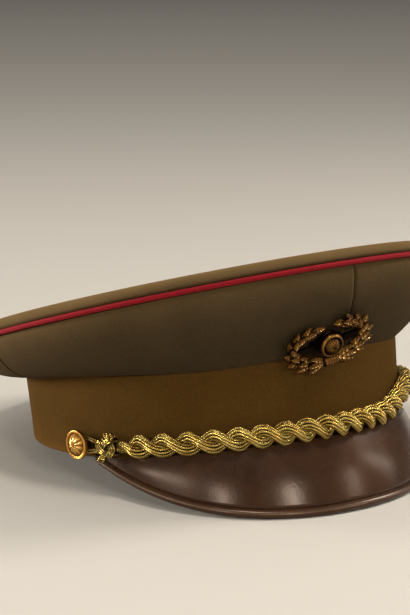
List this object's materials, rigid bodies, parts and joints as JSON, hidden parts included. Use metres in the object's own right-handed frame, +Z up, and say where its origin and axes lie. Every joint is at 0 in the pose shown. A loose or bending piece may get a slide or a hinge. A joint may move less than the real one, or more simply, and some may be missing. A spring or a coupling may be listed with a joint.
{
  "type": "peaked cap",
  "caption": "Uniform peaked cap: stiff cloth band, soft flared crown with a piped rim, steep glossy peak, leaf badge and a twisted gold chin cord knotted to gilt buttons.",
  "frame": {"origin": "middle of the bounding box at the surface that the cap rests on", "axes": "+Z up, the cap's front and peak towards -Y, the wearer's left towards +X"},
  "size_m": [0.2364, 0.245, 0.1188],
  "materials": {
    "crown_cloth": "fine matt olive-brown wool",
    "band_cloth": "fine matt russet-brown wool",
    "piping_cloth": "crimson wool cord",
    "peak_lacquer": "glossy dark red-brown lacquer",
    "gold_cord": "metal-wrapped gold gimp cord",
    "gilt_brass": "worn gilt",
    "aged_brass": "darkened brass, bright on the high places"
  },
  "bodies": {
    "root": {"band": "band_cloth", "peak": "peak_lacquer", "crown_front_left": "crown_cloth", "crown_back_left": "crown_cloth", "crown_back_right": "crown_cloth", "crown_front_right": "crown_cloth", "crown_top": "crown_cloth", "piping": "piping_cloth", "chin_cord_a": "gold_cord", "chin_cord_b": "gold_cord", "knot_right": "gold_cord", "knot_left": "gold_cord", "cord_loop_right": "gold_cord", "cord_loop_left": "gold_cord", "button_right": "gilt_brass", "button_left": "gilt_brass", "badge_wreath": "aged_brass", "badge_boss": "aged_brass"}
  },
  "joints": []
}
